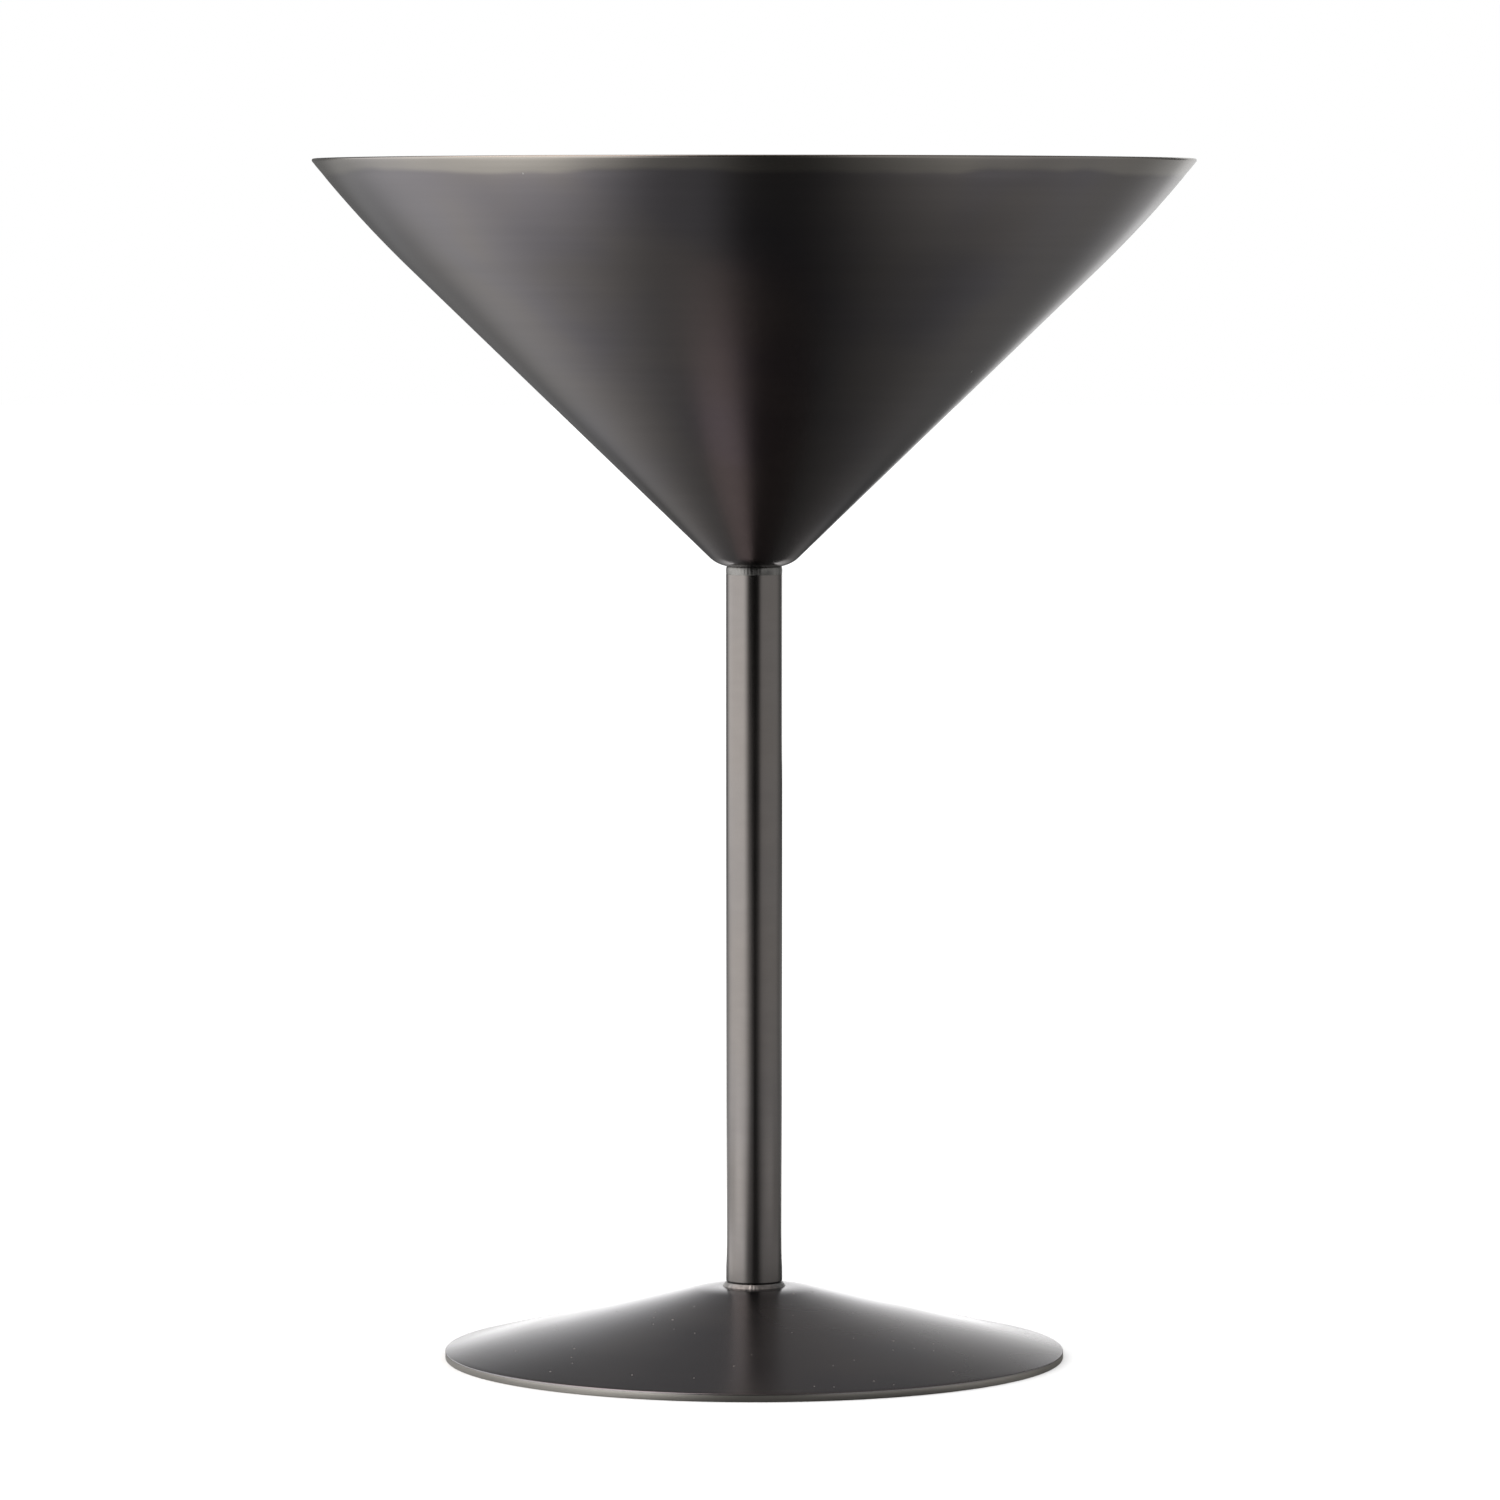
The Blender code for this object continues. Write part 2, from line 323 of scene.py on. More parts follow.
def report_mesh(name, mesh):
    """Prints a mesh's triangles, volume and open edges."""
    check = bmesh.new()
    check.from_mesh(mesh)
    volume = check.calc_volume(signed=True)
    open_edges = sum(not edge.is_manifold for edge in check.edges)
    faces = sum(len(face.verts) - 2 for face in check.faces)
    check.free()
    print(name, faces, "triangles,", round(volume * 1e9), "mm3,", open_edges, "open edges")


def turn_piece(node, outline, segments, material, marks=None):
    """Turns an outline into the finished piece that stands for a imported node."""
    mesh = bpy.data.meshes.new(node + "_finish")
    path = outline_path(outline)
    mesh.from_pydata([(across, 0.0, up) for across, up, _ in path], [], [])
    free = mesh.attributes.new("free", "FLOAT", "POINT")
    free.data.foreach_set("value", [point[2] for point in path])
    piece = bpy.data.objects.new(node + "_finish", mesh)
    bpy.context.scene.collection.objects.link(piece)
    modifier = piece.modifiers.new("lathe", "NODES")
    modifier.node_group = lathe
    settings = dict(PLAIN_MARKS, Points=len(path), Segments=segments, Material=material)
    settings.update(marks or {})
    for name, value in settings.items():
        modifier[lathe_sockets[name]] = value
    bpy.context.view_layer.update()
    seen = piece.evaluated_get(bpy.context.evaluated_depsgraph_get())
    turned = bpy.data.meshes.new_from_object(seen)
    piece.modifiers.remove(modifier)
    piece.data = turned
    turned.name = piece.name
    turned.shade_smooth()
    turned.set_sharp_from_angle(angle=SHARP_ANGLE)
    report_mesh(piece.name, turned)

    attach(piece, "root")
    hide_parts(node)


# %% [markdown]
# ## The satin coating
# The steel is polished with fine paper while it spins and then coated dark grey. Three things
# make that look: a dark metallic reflection that is blurred a little, hairlines that run round
# the bowl and the stem, and clouds where the coating is a touch warmer or glossier. A painted map
# could carry them, but noise on a point's bearing and on its distance along the wall draws lines
# round the axis without any UV map. Dust specks are the centres of a few Voronoi cells.

# %% Shader parts


def round_lines(tree, spot, pitch, length, detail=2.0):
    """Noise that runs round the Z axis, with lines about one pitch apart."""
    bearing, along = round_place(tree, spot)
    lines = {
        0: calc(tree, "MULTIPLY", calc(tree, "COSINE", bearing), length),
        1: calc(tree, "MULTIPLY", calc(tree, "SINE", bearing), length),
        2: calc(tree, "DIVIDE", along, pitch),
    }
    lines = put(tree, "ShaderNodeCombineXYZ", lines).outputs[0]
    noise = {"Vector": lines, "Scale": 1.0, "Detail": detail, "Roughness": 0.6}
    return put(tree, "ShaderNodeTexNoise", noise).outputs[0]


def dust(tree, spot, cell, size, share, seed):
    """Specks of dust seen from above, in only a share of the cells. Returns 1 on a speck."""
    moved = put(tree, "ShaderNodeVectorMath", {0: spot, 1: (seed, seed, seed)}).outputs[0]
    cells = {"Vector": moved, "Scale": 1.0 / cell}
    cells = put(tree, "ShaderNodeTexVoronoi", cells, voronoi_dimensions="2D").outputs
    chance = put(tree, "ShaderNodeSeparateColor", {0: cells["Color"]}).outputs
    chosen = calc(tree, "LESS_THAN", chance[0], share)
    grown = calc(tree, "MULTIPLY", chance[1], size / cell)
    inside = calc(tree, "LESS_THAN", cells["Distance"], grown)
    return calc(tree, "MULTIPLY", chosen, inside)


def blend(tree, share, first, second):
    """Mixes two colours."""
    inputs = {"Factor": share, 6: first, 7: second}
    return put(tree, "ShaderNodeMix", inputs, data_type="RGBA").outputs[2]


# %% [markdown]
# One function mixes the coating for every piece, because they are coated together. Each piece
# then gets its own marks: the bowl a burnished band under the lip and a rare speck of dust, the
# stem a thin line of painted shade in the crease just above the bead, and the foot, which lies
# nearly level, far more dust and a lighter edge that is partly wear and partly a painted reflection
# of the pale floor.

# %% The coating's material
CLOUD_SCALE = 40.0
HAIRLINE_PITCH = 0.3 * MM
BAND_PITCH = 2.2 * MM
BAND_DEPTH = 0.018
BAND_DRIFT = 3.0 * MM
ROUGHNESS_SWING = 0.025
# How wide the line of painted shade in the crease above the foot's bead is.
SHADE_LINE_WIDTH = (0.1 * MM, 0.24 * MM)
SPECK_CELL = 2.8 * MM
SPECK_SIZE = 0.19 * MM
SPECK_SEED = 0.37
DUST_GREY = (0.34, 0.33, 0.32, 1.0)
# The light beige of the foot's edge: partly wear, partly a painted reflection of the pale floor.
WORN_AND_REFLECTION_TONE = (0.74, 0.70, 0.64, 1.0)
BURNISHED_TONE = (0.245, 0.228, 0.206, 1.0)


def metal_material(name):
    """A new metallic material: itself, its tree, its shader and the object's coordinates."""
    material = bpy.data.materials.new(name)
    material.use_nodes = True
    tree = material.node_tree
    shader = tree.nodes["Principled BSDF"]
    shader.inputs["Metallic"].default_value = 1.0
    return material, tree, shader, put(tree, "ShaderNodeTexCoord").outputs["Object"]


def satin_coating(
    name, tones, roughness, dust_share, line_depth, lip_band=None, wear_and_reflection_band=None, shade_line=None
):
    """The coating in two tones. A band is two heights, and the painted shade line is one."""
    material, tree, shader, spot = metal_material(name)
    clouds = {"Vector": spot, "Scale": CLOUD_SCALE, "Detail": 2.0}
    clouds = put(tree, "ShaderNodeTexNoise", clouds).outputs[0]
    hairlines = round_lines(tree, spot, HAIRLINE_PITCH, 1.4)
    bands = round_lines(tree, spot, BAND_PITCH, 0.8, detail=1.0)
    specks = dust(tree, spot, SPECK_CELL, SPECK_SIZE, dust_share, SPECK_SEED)

    cool, warm = ((*tone, 1.0) for tone in tones)
    tint = blend(tree, ease(tree, clouds, 0.36, 0.64), cool, warm)
    lighter = calc(tree, "ADD", ease(tree, hairlines, 0.3, 0.7, -line_depth, line_depth), 1.0)
    lighter = calc(tree, "ADD", lighter, ease(tree, bands, 0.35, 0.65, -BAND_DEPTH, BAND_DEPTH))
    rough = ease(tree, clouds, 0.35, 0.65, -ROUGHNESS_SWING, ROUGHNESS_SWING)
    rough = calc(tree, "ADD", rough, roughness)
    height = put(tree, "ShaderNodeSeparateXYZ", {0: spot}).outputs["Z"]
    if lip_band:
        ragged = calc(tree, "MULTIPLY_ADD", calc(tree, "SUBTRACT", clouds, 0.5), BAND_DRIFT, height)
        burnished = ease(tree, ragged, *lip_band)
        burnished = calc(tree, "MULTIPLY", burnished, ease(tree, clouds, 0.3, 0.6, 0.6, 1.0))
        tint = blend(tree, burnished, tint, BURNISHED_TONE)
    # Painted shade: in a thin line in the crease above the foot's bead, the colour drops to a
    # fifth.
    if shade_line:
        off_shade_line = calc(tree, "ABSOLUTE", calc(tree, "SUBTRACT", height, shade_line))
        lighter = calc(tree, "MULTIPLY", lighter, ease(tree, off_shade_line, *SHADE_LINE_WIDTH, 0.2, 1.0))
    tint = put(tree, "ShaderNodeVectorMath", {0: tint, "Scale": lighter}, operation="SCALE")
    coat = blend(tree, specks, tint.outputs[0], DUST_GREY)
    # Low on the foot the colour turns light beige and rougher: partly wear, partly a painted
    # reflection of the pale floor.
    if wear_and_reflection_band:
        patchy = ease(tree, bands, 0.3, 0.7, 0.55, 1.0)
        worn_and_reflected = calc(tree, "MULTIPLY", ease(tree, height, *wear_and_reflection_band), patchy)
        coat = blend(tree, worn_and_reflected, coat, WORN_AND_REFLECTION_TONE)
        rough = calc(tree, "MULTIPLY_ADD", worn_and_reflected, 0.08, rough)
    rough = calc(tree, "MULTIPLY_ADD", specks, 0.3, rough)
    tree.links.new(coat, shader.inputs["Base Color"])
    tree.links.new(rough, shader.inputs["Roughness"])
    return material


# %% [markdown]
# ## The bowl
# The spinner leaves the bowl as one thin cone: a straight wall that leans out by about 46 degrees,
# a small rounded corner over the seat, and a crown where the wall stands up a little towards the
# lip. A cone primitive has neither the corner nor the crown, so the outline is worked out from
# their radii. The straight wall has to touch both arcs, and halving finds the lean that does.

# %% The lean of the wall
LIP_ROUND = 0.25 * MM
CROWN_RADIUS = 158.0 * MM
CROWN_TURN = math.radians(7.4)
BOWL_CORNER = 4.7 * MM
SEAT_RADIUS = 3.1 * MM
HALVINGS = 50


def crown_frame(lean):
    """The wall's lean at the lip, and the centre of the crown's arc."""
    lip_lean = lean - CROWN_TURN
    lip_end = (
        rim_radius - LIP_ROUND + LIP_ROUND * math.cos(lip_lean),
        bowl_top - LIP_ROUND - LIP_ROUND * math.sin(lip_lean),
    )
    across = lip_end[0] - CROWN_RADIUS * math.cos(lip_lean)
    return lip_lean, (across, lip_end[1] + CROWN_RADIUS * math.sin(lip_lean))


def wall_miss(lean):
    """How far the straight wall passes from the corner's arc at this lean."""
    centre = crown_frame(lean)[1]
    reach = CROWN_RADIUS - BOWL_CORNER
    run_across = centre[0] + reach * math.cos(lean) - SEAT_RADIUS
    run_up = centre[1] - reach * math.sin(lean) - bowl_bottom - BOWL_CORNER
    return run_across * math.cos(lean) - run_up * math.sin(lean)


def find_lean(low=math.radians(15), high=math.radians(80)):
    """Halves the range of leans until the wall touches the corner's arc."""
    for _ in range(HALVINGS):
        middle = (low + high) / 2
        low, high = (middle, high) if wall_miss(middle) > 0 else (low, middle)
    return (low + high) / 2


wall_lean = find_lean()
print("the wall leans out by", round(math.degrees(wall_lean), 1), "degrees")

# %% [markdown]
# The lip is trimmed level and its edges are broken. Just under it the roller has burnished a
# narrow band, which ends in a shallow groove. The groove is pressed into the outline itself, so
# that it catches light as a real one does.

# %% The faces of the wall
BAND_HEIGHT = 2.2 * MM
GROOVE_DEPTH = 0.025 * MM
GROOVE_WIDTH = 0.9 * MM
FREE_START = 4.0 * MM
CROWN_STEPS = 40
CORNER_STEPS = 16
WALL_STEP = 0.9 * MM
SEAT_STEP = 0.8 * MM


def groove(height):
    """How deep the burnished band's lower edge is pressed in at a height."""
    off_centre = (bowl_top - BAND_HEIGHT - height) / GROOVE_WIDTH
    return GROOVE_DEPTH * math.exp(-off_centre * off_centre * 4.0)


def wall_face(lean, top_lean, inset, free):
    """One face of the wall from lip to axis. Waves fade out near the lip and the seat."""
    centre = crown_frame(lean)[1]
    corner_centre = (SEAT_RADIUS, bowl_bottom + BOWL_CORNER)
    crown = arc(centre, CROWN_RADIUS - inset, -top_lean, -lean, CROWN_STEPS)
    corner = arc(corner_centre, BOWL_CORNER - inset, -lean, -math.pi / 2, CORNER_STEPS)
    face = crown + run(crown[-1], corner[0], WALL_STEP) + corner
    face += run(corner[-1], (0.0, corner[-1][1]), SEAT_STEP)
    face.append((0.0, corner[-1][1], 0.0))
    shaped = []
    for across, up, _ in face:
        fade = min(1.0, max(0.0, (bowl_top - up) / FREE_START - 0.1))
        fade *= min(1.0, max(0.0, (across - SEAT_RADIUS) / FREE_START))
        dent = groove(up) if inset == 0.0 else 0.0
        shaped.append((across - dent * math.cos(lean), up + dent * math.sin(lean), free * fade))
    return shaped


# %% The bowl's outline
BOWL_WALL = 0.8 * MM


def bowl_outline(lean):
    """Down the outside, back up the inside, and round the lip."""
    lip_lean, centre = crown_frame(lean)
    reach = CROWN_RADIUS - BOWL_WALL + LIP_ROUND
    lip_height = bowl_top - LIP_ROUND
    inner_lean = math.asin((centre[1] - lip_height) / reach)
    inner_centre = (centre[0] + reach * math.cos(inner_lean), lip_height)
    outer_centre = (rim_radius - LIP_ROUND, lip_height)
    outside = wall_face(lean, lip_lean, 0.0, 1.0)
    inside = wall_face(lean, inner_lean, BOWL_WALL, 1.0)
    upright = math.pi / 2
    inner_lip = arc(inner_centre, LIP_ROUND, math.pi - inner_lean, upright, 6)
    outer_lip = arc(outer_centre, LIP_ROUND, upright, 0.0, 6)
    under_lip = arc(outer_centre, LIP_ROUND, 0.0, -lip_lean, 4)
    return outside + inside[::-1] + inner_lip[1:] + outer_lip + under_lip[1:-1]


# %% The bowl
BOWL_TONES = ((0.138, 0.129, 0.137), (0.153, 0.140, 0.136))

bowl_band = (bowl_top - BAND_HEIGHT - 0.4 * MM, bowl_top - BAND_HEIGHT + 0.5 * MM)
bowl_finish = satin_coating(
    "bowl_satin",
    BOWL_TONES,
    roughness=0.215,
    dust_share=0.004,
    line_depth=0.01,
    lip_band=bowl_band,
)
bowl_marks = {"Wave Height": 0.016 * MM, "Wave Length": 9.0 * MM, "Seed": 4.0}
turn_piece("bowl", bowl_outline(wall_lean), 288, bowl_finish, bowl_marks)

# %% [markdown]
# ## The stem
# The stem is drawn tube, the straightest and smoothest piece of the glass. It needs only a clean
# outline, with its ends carried to the foot and to the weld so that no light shows between them.
# Its lower end is a hair narrower, so that the bead laps over it, and painted shade darkens the
# crease there.

# %% The stem tube
STEM_WALL = 0.8 * MM
STEM_INSET = 0.08 * MM
STEM_STEP = 2.0 * MM
STEM_TONES = ((0.151, 0.140, 0.135), (0.159, 0.145, 0.136))

bowl_weld_bottom = node_size("bowl_weld")[1]
stem_bore = stem_radius - STEM_WALL
stem_foot = foot_top + 0.02 * MM
foot_bead_top = foot_top + 0.55 * MM
stem_neck = foot_bead_top + 0.22 * MM
# The height of the painted shade line in the crease above the foot's bead.
stem_shade_line = foot_bead_top + 0.12 * MM
stem_corners = [
    (stem_bore, bowl_weld_bottom, 0.0),
    (stem_bore, stem_foot, 0.0),
    (stem_radius - STEM_INSET, stem_foot, 0.0),
    (stem_radius - STEM_INSET, stem_neck - 0.1 * MM, 0.0),
    (stem_radius, stem_neck, 0.0),
    (stem_radius, bowl_weld_bottom, 0.0),
]
stem_outline = []
for corner, following in zip(stem_corners, stem_corners[1:] + stem_corners[:1]):
    stem_outline += [corner] + run(corner, following, STEM_STEP, 0.6)
stem_finish = satin_coating(
    "stem_satin", STEM_TONES, roughness=0.195, dust_share=0.0, line_depth=0.01, shade_line=stem_shade_line
)
stem_marks = {"Wave Height": 0.006 * MM, "Wave Length": 24.0 * MM, "Seed": 11.0}
turn_piece("stem_tube", stem_outline, 96, stem_finish, stem_marks)

# %% [markdown]
# ## The foot
# The foot is spun like the bowl, but shallow: a level land under the stem, a cone that falls by
# about 13.5 degrees, and an upright edge. The underside is hollow, and only a narrow faced ring
# rests on the table. The edge is drawn a little finer than it is packed, lower and with a smaller
# rounding, because its light line, partly wear and partly a painted reflection of the floor, is
# thin.

# %% The foot's outline
FOOT_SHEET = 1.2 * MM
EDGE_HEIGHT = 1.18 * MM
EDGE_ROUND = 0.22 * MM
BASE_ROUND = 0.15 * MM
REST_WIDTH = 1.8 * MM
CREST_RADIUS = 6.9 * MM
CREST_BLEND = 15.0 * MM
TENON_RADIUS = 1.7 * MM
CLEARANCE = 0.3 * MM
TOP_STEP = 0.8 * MM
UNDER_STEP = 1.2 * MM


def foot_outline():
    """The hole, the top, the edge, the resting ring and the hollow underside."""
    upright = math.pi / 2
    cone_run = foot_radius - EDGE_ROUND - CREST_RADIUS
    cone_drop = foot_top - EDGE_HEIGHT + EDGE_ROUND
    slope = math.atan2(cone_drop, cone_run)
    slope -= math.asin(EDGE_ROUND / math.hypot(cone_run, cone_drop))
    crest = (CREST_RADIUS - CREST_BLEND * math.tan(slope / 2), foot_top - CREST_BLEND)
    under_radius = CREST_BLEND - FOOT_SHEET
    over = arc(crest, CREST_BLEND, upright, upright - slope, 10)
    under = arc(crest, under_radius, upright - slope, upright, 10)
    edge_centre = (foot_radius - EDGE_ROUND, EDGE_HEIGHT - EDGE_ROUND)
    edge = arc(edge_centre, EDGE_ROUND, upright - slope, 0.0, 8)
    base = arc((foot_radius - BASE_ROUND, BASE_ROUND), BASE_ROUND, 0.0, -upright, 4)
    rest_inner = foot_radius - REST_WIDTH
    cone_over_rest = foot_top - (rest_inner - CREST_RADIUS) * math.tan(slope)
    under_rest = cone_over_rest - FOOT_SHEET / math.cos(slope)
    rise = under_rest / (1 - math.tan(slope))
    step = (rest_inner - rise, rise, 0.0)
    hole = TENON_RADIUS + CLEARANCE
    outline = [(hole, foot_top, 0.0)] + over
    outline += run(over[-1], edge[0], TOP_STEP, 1.0) + edge + base
    outline += [(rest_inner, 0.0, 0.0), step]
    outline += run(step, under[0], UNDER_STEP, 1.0) + under
    outline.append((hole, foot_top - FOOT_SHEET, 0.0))
    print("the foot falls by", round(math.degrees(slope), 1), "degrees")
    return outline[::-1]


# %% The foot
FOOT_TONES = ((0.140, 0.134, 0.145), (0.147, 0.137, 0.140))

# Below these heights the foot's edge gets the beige of wear and of a painted floor reflection.
foot_wear_and_reflection_band = (EDGE_HEIGHT - 0.1 * MM, EDGE_HEIGHT - 0.35 * MM)
foot_finish = satin_coating(
    "foot_satin",
    FOOT_TONES,
    roughness=0.25,
    dust_share=0.17,
    line_depth=0.0,
    wear_and_reflection_band=foot_wear_and_reflection_band,
)
foot_marks = {"Wave Height": 0.005 * MM, "Wave Length": 11.0 * MM, "Seed": 2.0}
turn_piece("foot", foot_outline(), 288, foot_finish, foot_marks)

# %% [markdown]
# ## The welds
# A weld bead is a row of small frozen puddles. They could be sculpted one by one, but the lathe's
# ripples make them all: a sine round the axis whose phase drifts. The bead on the foot is left as
# welded and stands out lighter, while the one under the bowl is dressed almost flush.

# %% Weld material
DARK_SHARE = 0.55


def bead_coating(name, tone, roughness):
    """Rough bare metal in patches of one tone and a darker one."""
    material, tree, shader, spot = metal_material(name)
    grain = {"Vector": spot, "Scale": 2600.0, "Detail": 3.0, "Roughness": 0.7}
    grain = put(tree, "ShaderNodeTexNoise", grain).outputs[0]
    patches = {"Vector": spot, "Scale": 420.0, "Detail": 2.0}
    patches = put(tree, "ShaderNodeTexNoise", patches).outputs[0]
    dark = tuple(DARK_SHARE * part for part in tone) + (1.0,)
    colour = blend(tree, ease(tree, patches, 0.35, 0.62), dark, (*tone, 1.0))
    rough = calc(tree, "ADD", ease(tree, grain, 0.3, 0.7, -0.08, 0.1), roughness)
    bump = put(
        tree, "ShaderNodeBump", {"Height": grain, "Strength": 0.5, "Distance": 0.03 * MM}
    )
    tree.links.new(colour, shader.inputs["Base Color"])
    tree.links.new(rough, shader.inputs["Roughness"])
    tree.links.new(bump.outputs[0], shader.inputs["Normal"])
    return material


# %% The bead under the bowl
NECK_INSET = 0.13 * MM
weld_top = bowl_bottom + 0.06 * MM
bead_middle = (bowl_weld_bottom + weld_top) / 2
bowl_bead_outline = [
    (stem_bore, weld_top, 0.0),
    (stem_bore, bowl_weld_bottom, 0.0),
    (stem_radius - 0.03 * MM, bowl_weld_bottom, 0.2),
    (stem_radius - 0.01 * MM, bowl_weld_bottom + 0.12 * MM, 0.6),
    (stem_radius, bead_middle - 0.1 * MM, 1.0),
    (stem_radius, bead_middle + 0.12 * MM, 1.0),
    (stem_radius - 0.02 * MM, bead_middle + 0.3 * MM, 0.8),
    (stem_radius - 0.06 * MM, weld_top - 0.08 * MM, 0.3),
    (stem_radius - NECK_INSET, weld_top, 0.0),
]
bowl_bead_finish = bead_coating("bowl_bead_coat", (0.17, 0.165, 0.158), 0.33)
bowl_bead_marks = {"Ripple Height": 0.035 * MM, "Ripples": 44, "Seed": 7.0}
bowl_bead_marks.update({"Wave Height": 0.05 * MM, "Wave Length": 1.0 * MM})
turn_piece("bowl_weld", bowl_bead_outline, 264, bowl_bead_finish, bowl_bead_marks)

# %% The bead on the foot
BEAD_STEPS = 14
BEAD_INSET = 0.1 * MM

bead_foot = foot_top - 0.05 * MM
bead_rise = foot_bead_top - bead_foot
bead_neck = stem_radius + 0.1 * MM
bead_reach = stem_radius + 0.52 * MM
foot_bead_outline = [
    (stem_radius - BEAD_INSET, bead_foot, 0.0),
    (stem_radius - BEAD_INSET, foot_bead_top, 0.0),
    (stem_radius + 0.06 * MM, foot_bead_top, 0.4),
]
for step in range(BEAD_STEPS + 1):
    share = step / BEAD_STEPS
    across = bead_neck + (bead_reach - bead_neck) * share ** 1.15
    up = bead_foot + (bead_rise - 0.05 * MM) * (1 - share ** 1.1) ** 0.95
    foot_bead_outline.append((across, up, 0.3 + 0.7 * math.sin(math.pi * share)))
foot_bead_finish = bead_coating("foot_bead_coat", (0.275, 0.272, 0.268), 0.42)
foot_bead_marks = {"Ripple Height": 0.04 * MM, "Ripples": 40, "Seed": 3.0}
foot_bead_marks.update({"Wave Height": 0.09 * MM, "Wave Length": 1.2 * MM})
turn_piece("foot_weld", foot_bead_outline, 280, foot_bead_finish, foot_bead_marks)

# %% [markdown]
# ## The spigots
# Two turned plugs centre the tube while it is welded. The upper one is wholly hidden. The lower
# one ends in a tenon that is riveted over under the foot, and its domed head shows when the glass
# is turned over. They are turned on the same lathe, and their steel is left bare.

# %% The spigots
SPIGOT_CHAMFER = 0.6 * MM

spigot_radius, upper_bottom, upper_top = node_size("bowl_spigot")
rivet_radius, rivet_bottom, spigot_top = node_size("foot_spigot")
upper_outline = [
    (0.0, upper_top, 0.0),
    (0.0, upper_bottom, 0.0),
    (spigot_radius - SPIGOT_CHAMFER, upper_bottom, 0.0),
    (spigot_radius, upper_bottom + SPIGOT_CHAMFER, 0.0),
    (spigot_radius, upper_top, 0.0),
]
head_top = foot_top - FOOT_SHEET - 0.02 * MM
head_height = head_top - rivet_bottom
head_arc = arc((rivet_radius - head_height, head_top), head_height, -math.pi / 2, 0.0, 10, 0.7)
lower_outline = [(0.0, spigot_top, 0.0), (0.0, rivet_bottom, 0.0)]
lower_outline += run((0.0, rivet_bottom), head_arc[0], 0.3 * MM, 0.8)
lower_outline += head_arc + [(TENON_RADIUS, head_top, 0.0), (TENON_RADIUS, stem_bottom, 0.0)]
lower_outline += [
    (spigot_radius, stem_bottom, 0.0),
    (spigot_radius, spigot_top - SPIGOT_CHAMFER, 0.0),
    (spigot_radius - SPIGOT_CHAMFER, spigot_top, 0.0),
]
bare_finish = bead_coating("bare_turned_steel", (0.52, 0.51, 0.50), 0.30)
turn_piece("bowl_spigot", upper_outline, 72, bare_finish)
rivet_marks = {"Wave Height": 0.12 * MM, "Wave Length": 1.6 * MM, "Seed": 5.0}
turn_piece("foot_spigot", lower_outline, 96, bare_finish, rivet_marks)

# %% [markdown]
# ## The studio
# Dark metal is lit by what it reflects, so the studio is built round its reflections:
# a tall soft light on the left, a dim fill card on the right, and darkness round the camera, which
# gives the stem its thin black line. The pale floor is what the eye sees. Cards that only
# reflections see lie just under it and stand round the glass, and they carry the finer lights.

# %% Stage helpers


def stage_plane(name, centre, size, turn=(0.0, 0.0, 0.0)):
    """A square plane for the studio."""
    mesh = bpy.data.meshes.new(name)
    half = (size[0] / 2, size[1] / 2)
    corners = [(-half[0], -half[1], 0), (half[0], -half[1], 0)]
    corners += [(half[0], half[1], 0), (-half[0], half[1], 0)]
    mesh.from_pydata(corners, [], [(0, 1, 2, 3)])
    plane = bpy.data.objects.new(name, mesh)
    bpy.context.scene.collection.objects.link(plane)
    plane.location = centre
    plane.rotation_euler = turn
    return plane


def only_in_reflections(plane):
    """Hides a plane from all but the rays that a shiny surface throws back."""
    plane.visible_camera = False
    plane.visible_diffuse = False
    plane.visible_shadow = False
    plane.visible_transmission = False


def soft_light(name, place, aim, size, power):
    """A white area light that looks at its aim."""
    data = bpy.data.lights.new(name, "AREA")
    data.shape = "RECTANGLE"
    data.size, data.size_y = size
    data.energy = power
    light = bpy.data.objects.new(name, data)
    bpy.context.scene.collection.objects.link(light)
    light.location = place
    direction = Vector(aim) - Vector(place)
    light.rotation_euler = direction.to_track_quat("-Z", "Y").to_euler()
    print(name, "gives", power, "W over", size, "m")


# %% Floor
FLOOR_SIZE = (12.0, 12.0)
FLOOR_GREY = (0.9, 0.9, 0.9, 1.0)

floor = stage_plane("floor", (0.0, 0.0, 0.0), FLOOR_SIZE)
floor_paint = bpy.data.materials.new("pale_floor")
floor_paint.use_nodes = True
floor_shader = floor_paint.node_tree.nodes["Principled BSDF"]
floor_shader.inputs["Base Color"].default_value = FLOOR_GREY
floor_shader.inputs["Roughness"].default_value = 0.9
floor_shader.inputs["Specular IOR Level"].default_value = 0.0
floor.data.materials.append(floor_paint)
floor.visible_glossy = False
print("the floor is", FLOOR_SIZE[0], "m wide")

# %% [markdown]
# The card on the floor is a patchwork of pools of light. To the left of the glass it grows
# towards the big light. Right of it the growth is weaker. In front it stays dark. Many small
# lamps could do this, but one card whose glow is worked out from its own coordinates fades
# without steps.

# %% Glowing cards


def glow_material(name, paint):
    """An emitter whose brightness, and how solid it is, come from the function paint."""
    material = bpy.data.materials.new(name)
    material.use_nodes = True
    tree = material.node_tree
    tree.nodes.clear()
    spot = put(tree, "ShaderNodeTexCoord").outputs["Object"]
    place = put(tree, "ShaderNodeSeparateXYZ", {0: spot}).outputs
    reach = put(tree, "ShaderNodeVectorMath", {0: spot}, operation="LENGTH")
    strength, solid = paint(tree, place, reach.outputs["Value"])
    light = put(tree, "ShaderNodeEmission", {"Color": (1, 1, 1, 1), "Strength": strength})
    clear = put(tree, "ShaderNodeBsdfTransparent")
    mix = put(tree, "ShaderNodeMixShader", {0: solid, 1: clear.outputs[0], 2: light.outputs[0]})
    put(tree, "ShaderNodeOutputMaterial", {"Surface": mix.outputs[0]})
    return material


# %% Card that reflections see on the floor
CARD_EDGE = (0.55, 0.9)
FLOOR_DARK = 0.05


